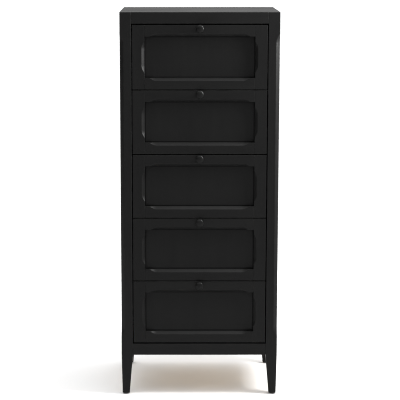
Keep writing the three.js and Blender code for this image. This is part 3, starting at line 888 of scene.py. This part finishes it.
def make_box(drawer):
    """Two sides, sub-front and back with their dovetails, the bottom, and the front's screws."""
    node = f"{drawer}_box"
    low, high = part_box(node)
    outline = side_outline(low, high)
    walls = (("left", low.x, low.x + BOX_WALL), ("right", high.x - BOX_WALL, high.x))
    for part, x_low, x_high in walls:
        made = piece(f"{drawer}_box_{part}_side", flat_plate(0, outline, x_low, x_high), timber[1],
                     drawer, "pale_timber", node, merge=True)
        bevel(made)
    inner_low, inner_high = shrink(low, high, 0, BOX_WALL + JOINT / 2)
    thickness = BOX_WALL - JOINT / 2
    boards = (("sub_front", low.y, low.y + thickness), ("back", high.y, high.y - thickness))
    for part, outer, inner in boards:
        shape = pin_board(inner_low, inner_high, outer, inner, BOX_WALL + JOINT / 2)
        made = piece(f"{drawer}_box_{part}", shape, timber[0], drawer, "pale_timber", node, merge=True)
        bevel(made)
    node = f"{drawer}_bottom"
    bottom_low, bottom_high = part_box(node)
    a = (low.x + BOX_WALL + JOINT, low.y + BOX_WALL + JOINT, bottom_low.z)
    b = (high.x - BOX_WALL - JOINT, high.y - BOX_WALL - JOINT, bottom_high.z)
    shape = bar(0, a, b, ease=THIN_BOARD_EASE)
    piece(f"{drawer}_box_bottom", shape, plywood, drawer, "pale_timber", node)
    heads = Shape()
    for x in (low.x + FRONT_SCREW_IN, high.x - FRONT_SCREW_IN):
        for z in (low.z + FRONT_SCREW_UP, high.z - FRONT_SCREW_UP):
            screw_head(heads, (x, low.y + BOX_WALL, z), 1, 1, *FRONT_SCREW_HEAD)
    piece(f"{drawer}_front_screws", heads, screw_steel, drawer, "black_steel")


# ---- Runners -----------------------------------------------------------------------------

GAUGE = 0.0012  # of the folded strip
FOLD = 0.0022  # outer radius of a fold
CURL = 0.0016  # outer radius of the ball race along each edge
FOLD_STEPS = 6
CURL_STEPS = 5
RUNNER_BEVEL = 0.0002
CASE_SCREW_FRONT = 0.0095  # from the member's front end to its first screw
CASE_SCREW_BACK = 0.0065
CASE_SCREW_HEAD = (0.0035, 0.0013)  # radius and height
BOX_SCREW_IN = 0.035  # from both ends
BOX_SCREW_HEAD = (0.0042, 0.0020)


def channel_line(web, out, half, flange, inset):
    """The upper half of a channel's section as (height, x), `inset` inside its outer skin: a
    folded corner, then a curled race. `out` is -1 or 1 for the way the flange goes."""
    fold, curl = FOLD - inset, CURL - inset
    line = []
    for step in range(FOLD_STEPS + 1):
        turn = math.pi / 2 * step / FOLD_STEPS
        line.append((half - FOLD + fold * math.sin(turn), web + out * (FOLD - fold * math.cos(turn))))
    race = web + out * (flange - CURL)
    for step in range(CURL_STEPS + 1):
        turn = math.radians(60) * step / CURL_STEPS
        line.append((half - CURL + curl * math.cos(turn), race + out * curl * math.sin(turn)))
    return line


def make_runner(node, body, side, ends, head):
    """One member: a folded channel and the screws through its web. `side` is -1 or 1 for the
    side of its box that the web is on, `ends` lists the screws' y and `head` is their size."""
    low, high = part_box(node)
    centre, half = (low.z + high.z) / 2, (high.z - low.z) / 2
    web = high.x if side > 0 else low.x
    outer = channel_line(web, -side, half, high.x - low.x, 0.0)
    inner = channel_line(web, -side, half, high.x - low.x, GAUGE)
    outline = [(centre + z, x) for z, x in reversed(outer)]
    outline += [(centre - z, x) for z, x in outer]
    outline += [(centre - z, x) for z, x in reversed(inner)]
    outline += [(centre + z, x) for z, x in inner]
    shape = flat_plate(1, outline, low.y, high.y)
    made = piece(f"{node}_channel", shape, steel, body, "black_steel", node, merge=True)
    bevel(made, RUNNER_BEVEL)
    heads = Shape()
    for y in ends:
        screw_head(heads, (web - side * GAUGE, y, centre), 0, -side, *head)
    piece(f"{node}_screws", heads, screw_steel, body, "black_steel")


def make_runners(drawer):
    for side_name, side in SIDES:
        node = f"{drawer}_{side_name}_case_runner"
        low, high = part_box(node)
        ends = (low.y + CASE_SCREW_FRONT, high.y - CASE_SCREW_BACK)
        make_runner(node, CASE, side, ends, CASE_SCREW_HEAD)
        node = f"{drawer}_{side_name}_box_runner"
        low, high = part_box(node)
        ends = (low.y + BOX_SCREW_IN, (low.y + high.y) / 2, high.y - BOX_SCREW_IN)
        make_runner(node, drawer, -side, ends, BOX_SCREW_HEAD)


for drawer in DRAWERS:
    front_frame(drawer)
    make_knob(drawer)
    make_box(drawer)
    make_runners(drawer)


# ---- Stage -------------------------------------------------------------------------------

FLOOR_REACH = 150.0
FLOOR_LEVEL = -0.0006
SKY_HORIZON = 0.38
SKY_ZENITH = 3.15
SKY_FALLOFF = 2.0
SKY_TO_RIGHT = 0.12
SKY_TO_BACK = 0.14
CAMERA_LENS = 129.75
CAMERA_PITCH = 9.25
CAMERA_PLACE = (-0.0677, -5.6996, 1.7483)
CAMERA_SHIFT = (0.045, -0.0491)


def make_floor():
    mesh = bpy.data.meshes.new("floor")
    corners = ((-1, -1), (1, -1), (1, 1), (-1, 1))
    points = [(x * FLOOR_REACH, y * FLOOR_REACH, FLOOR_LEVEL) for x, y in corners]
    mesh.from_pydata(points, [], [(0, 1, 2, 3)])
    mesh.materials.append(floor_material())
    floor = bpy.data.objects.new("floor", mesh)
    bpy.context.scene.collection.objects.link(floor)


def make_sky():
    """A soft overhead glow that falls off towards the horizon, and a little towards the left
    and the front."""
    world = bpy.data.worlds.new("studio")
    world.use_nodes = True
    bpy.context.scene.world = world
    tree = world.node_tree

    def add(operation, a, b):
        node = tree.nodes.new("ShaderNodeMath")
        node.operation = operation
        fill(tree, node.inputs[0], a)
        fill(tree, node.inputs[1], b)
        return node.outputs["Value"]

    coordinates = tree.nodes.new("ShaderNodeTexCoord")
    split = tree.nodes.new("ShaderNodeSeparateXYZ")
    tree.links.new(coordinates.outputs["Generated"], split.inputs["Vector"])
    height = add("MAXIMUM", split.outputs["Z"], 0.0)
    glow = add("MULTIPLY", add("POWER", height, SKY_FALLOFF), SKY_ZENITH - SKY_HORIZON)
    to_right = add("MULTIPLY", split.outputs["X"], SKY_TO_RIGHT)
    to_back = add("MULTIPLY", split.outputs["Y"], SKY_TO_BACK)
    strength = add("ADD", add("ADD", glow, SKY_HORIZON), add("ADD", to_right, to_back))
    background = tree.nodes["Background"]
    tree.links.new(strength, background.inputs["Strength"])
    background.inputs["Color"].default_value = (1.0, 1.0, 1.0, 1.0)


def add_flag(name, start, end, low, high):
    """A matt black screen between two places above the floor, which keeps light off one side of
    the object."""
    mesh = bpy.data.meshes.new(name)
    mesh.from_pydata([(*start, low), (*end, low), (*end, high), (*start, high)], [], [(0, 1, 2, 3)])
    n = Nodes("black_cloth")
    weave = n.noise(n.coordinates, 30.0, 3.0)
    n.set(Base_Color=n.ramp(weave, (0.3, (0.004, 0.004, 0.004)), (0.7, (0.006, 0.006, 0.006))))
    n.set(Roughness=n.fit(weave, 0.9, 1.0), Specular_IOR_Level=0.0)
    mesh.materials.append(n.material)
    flag = bpy.data.objects.new(name, mesh)
    flag.visible_camera = False
    bpy.context.scene.collection.objects.link(flag)


def add_softbox(name, place, target, size, power):
    """A rectangular light that faces `target`."""
    light = bpy.data.lights.new(name, "AREA")
    light.shape = "RECTANGLE"
    light.size, light.size_y = size
    light.energy = power
    made = bpy.data.objects.new(name, light)
    made.location = place
    made.rotation_euler = (Vector(target) - Vector(place)).to_track_quat("-Z", "Y").to_euler()
    made.visible_camera = False
    bpy.context.scene.collection.objects.link(made)


def make_camera():
    data = bpy.data.cameras.new("camera")
    data.lens = CAMERA_LENS
    data.sensor_width = 36.0
    data.shift_x, data.shift_y = CAMERA_SHIFT
    data.clip_start, data.clip_end = 0.1, 400.0
    camera = bpy.data.objects.new("camera", data)
    camera.location = CAMERA_PLACE
    camera.rotation_euler = (math.radians(90.0 - CAMERA_PITCH), 0.0, 0.0)
    bpy.context.scene.collection.objects.link(camera)
    bpy.context.scene.camera = camera


make_camera()
make_floor()
make_sky()
add_softbox("right_softbox", place=(1.17, -0.43, 1.95), target=(0.0, -0.25, 1.6),
            size=(0.35, 1.3), power=80.0)
add_flag("left_flag", start=(-3.2, -2.4), end=(-3.2, 1.2), low=0.5, high=1.9)
add_softbox("back_fill", place=(0.0, 1.9, 0.9), target=(0.0, 0.1, 0.0), size=(1.6, 0.5), power=14.0)
bpy.context.scene.view_settings.view_transform = "Standard"
bpy.context.scene.cycles.filter_width = 1.1
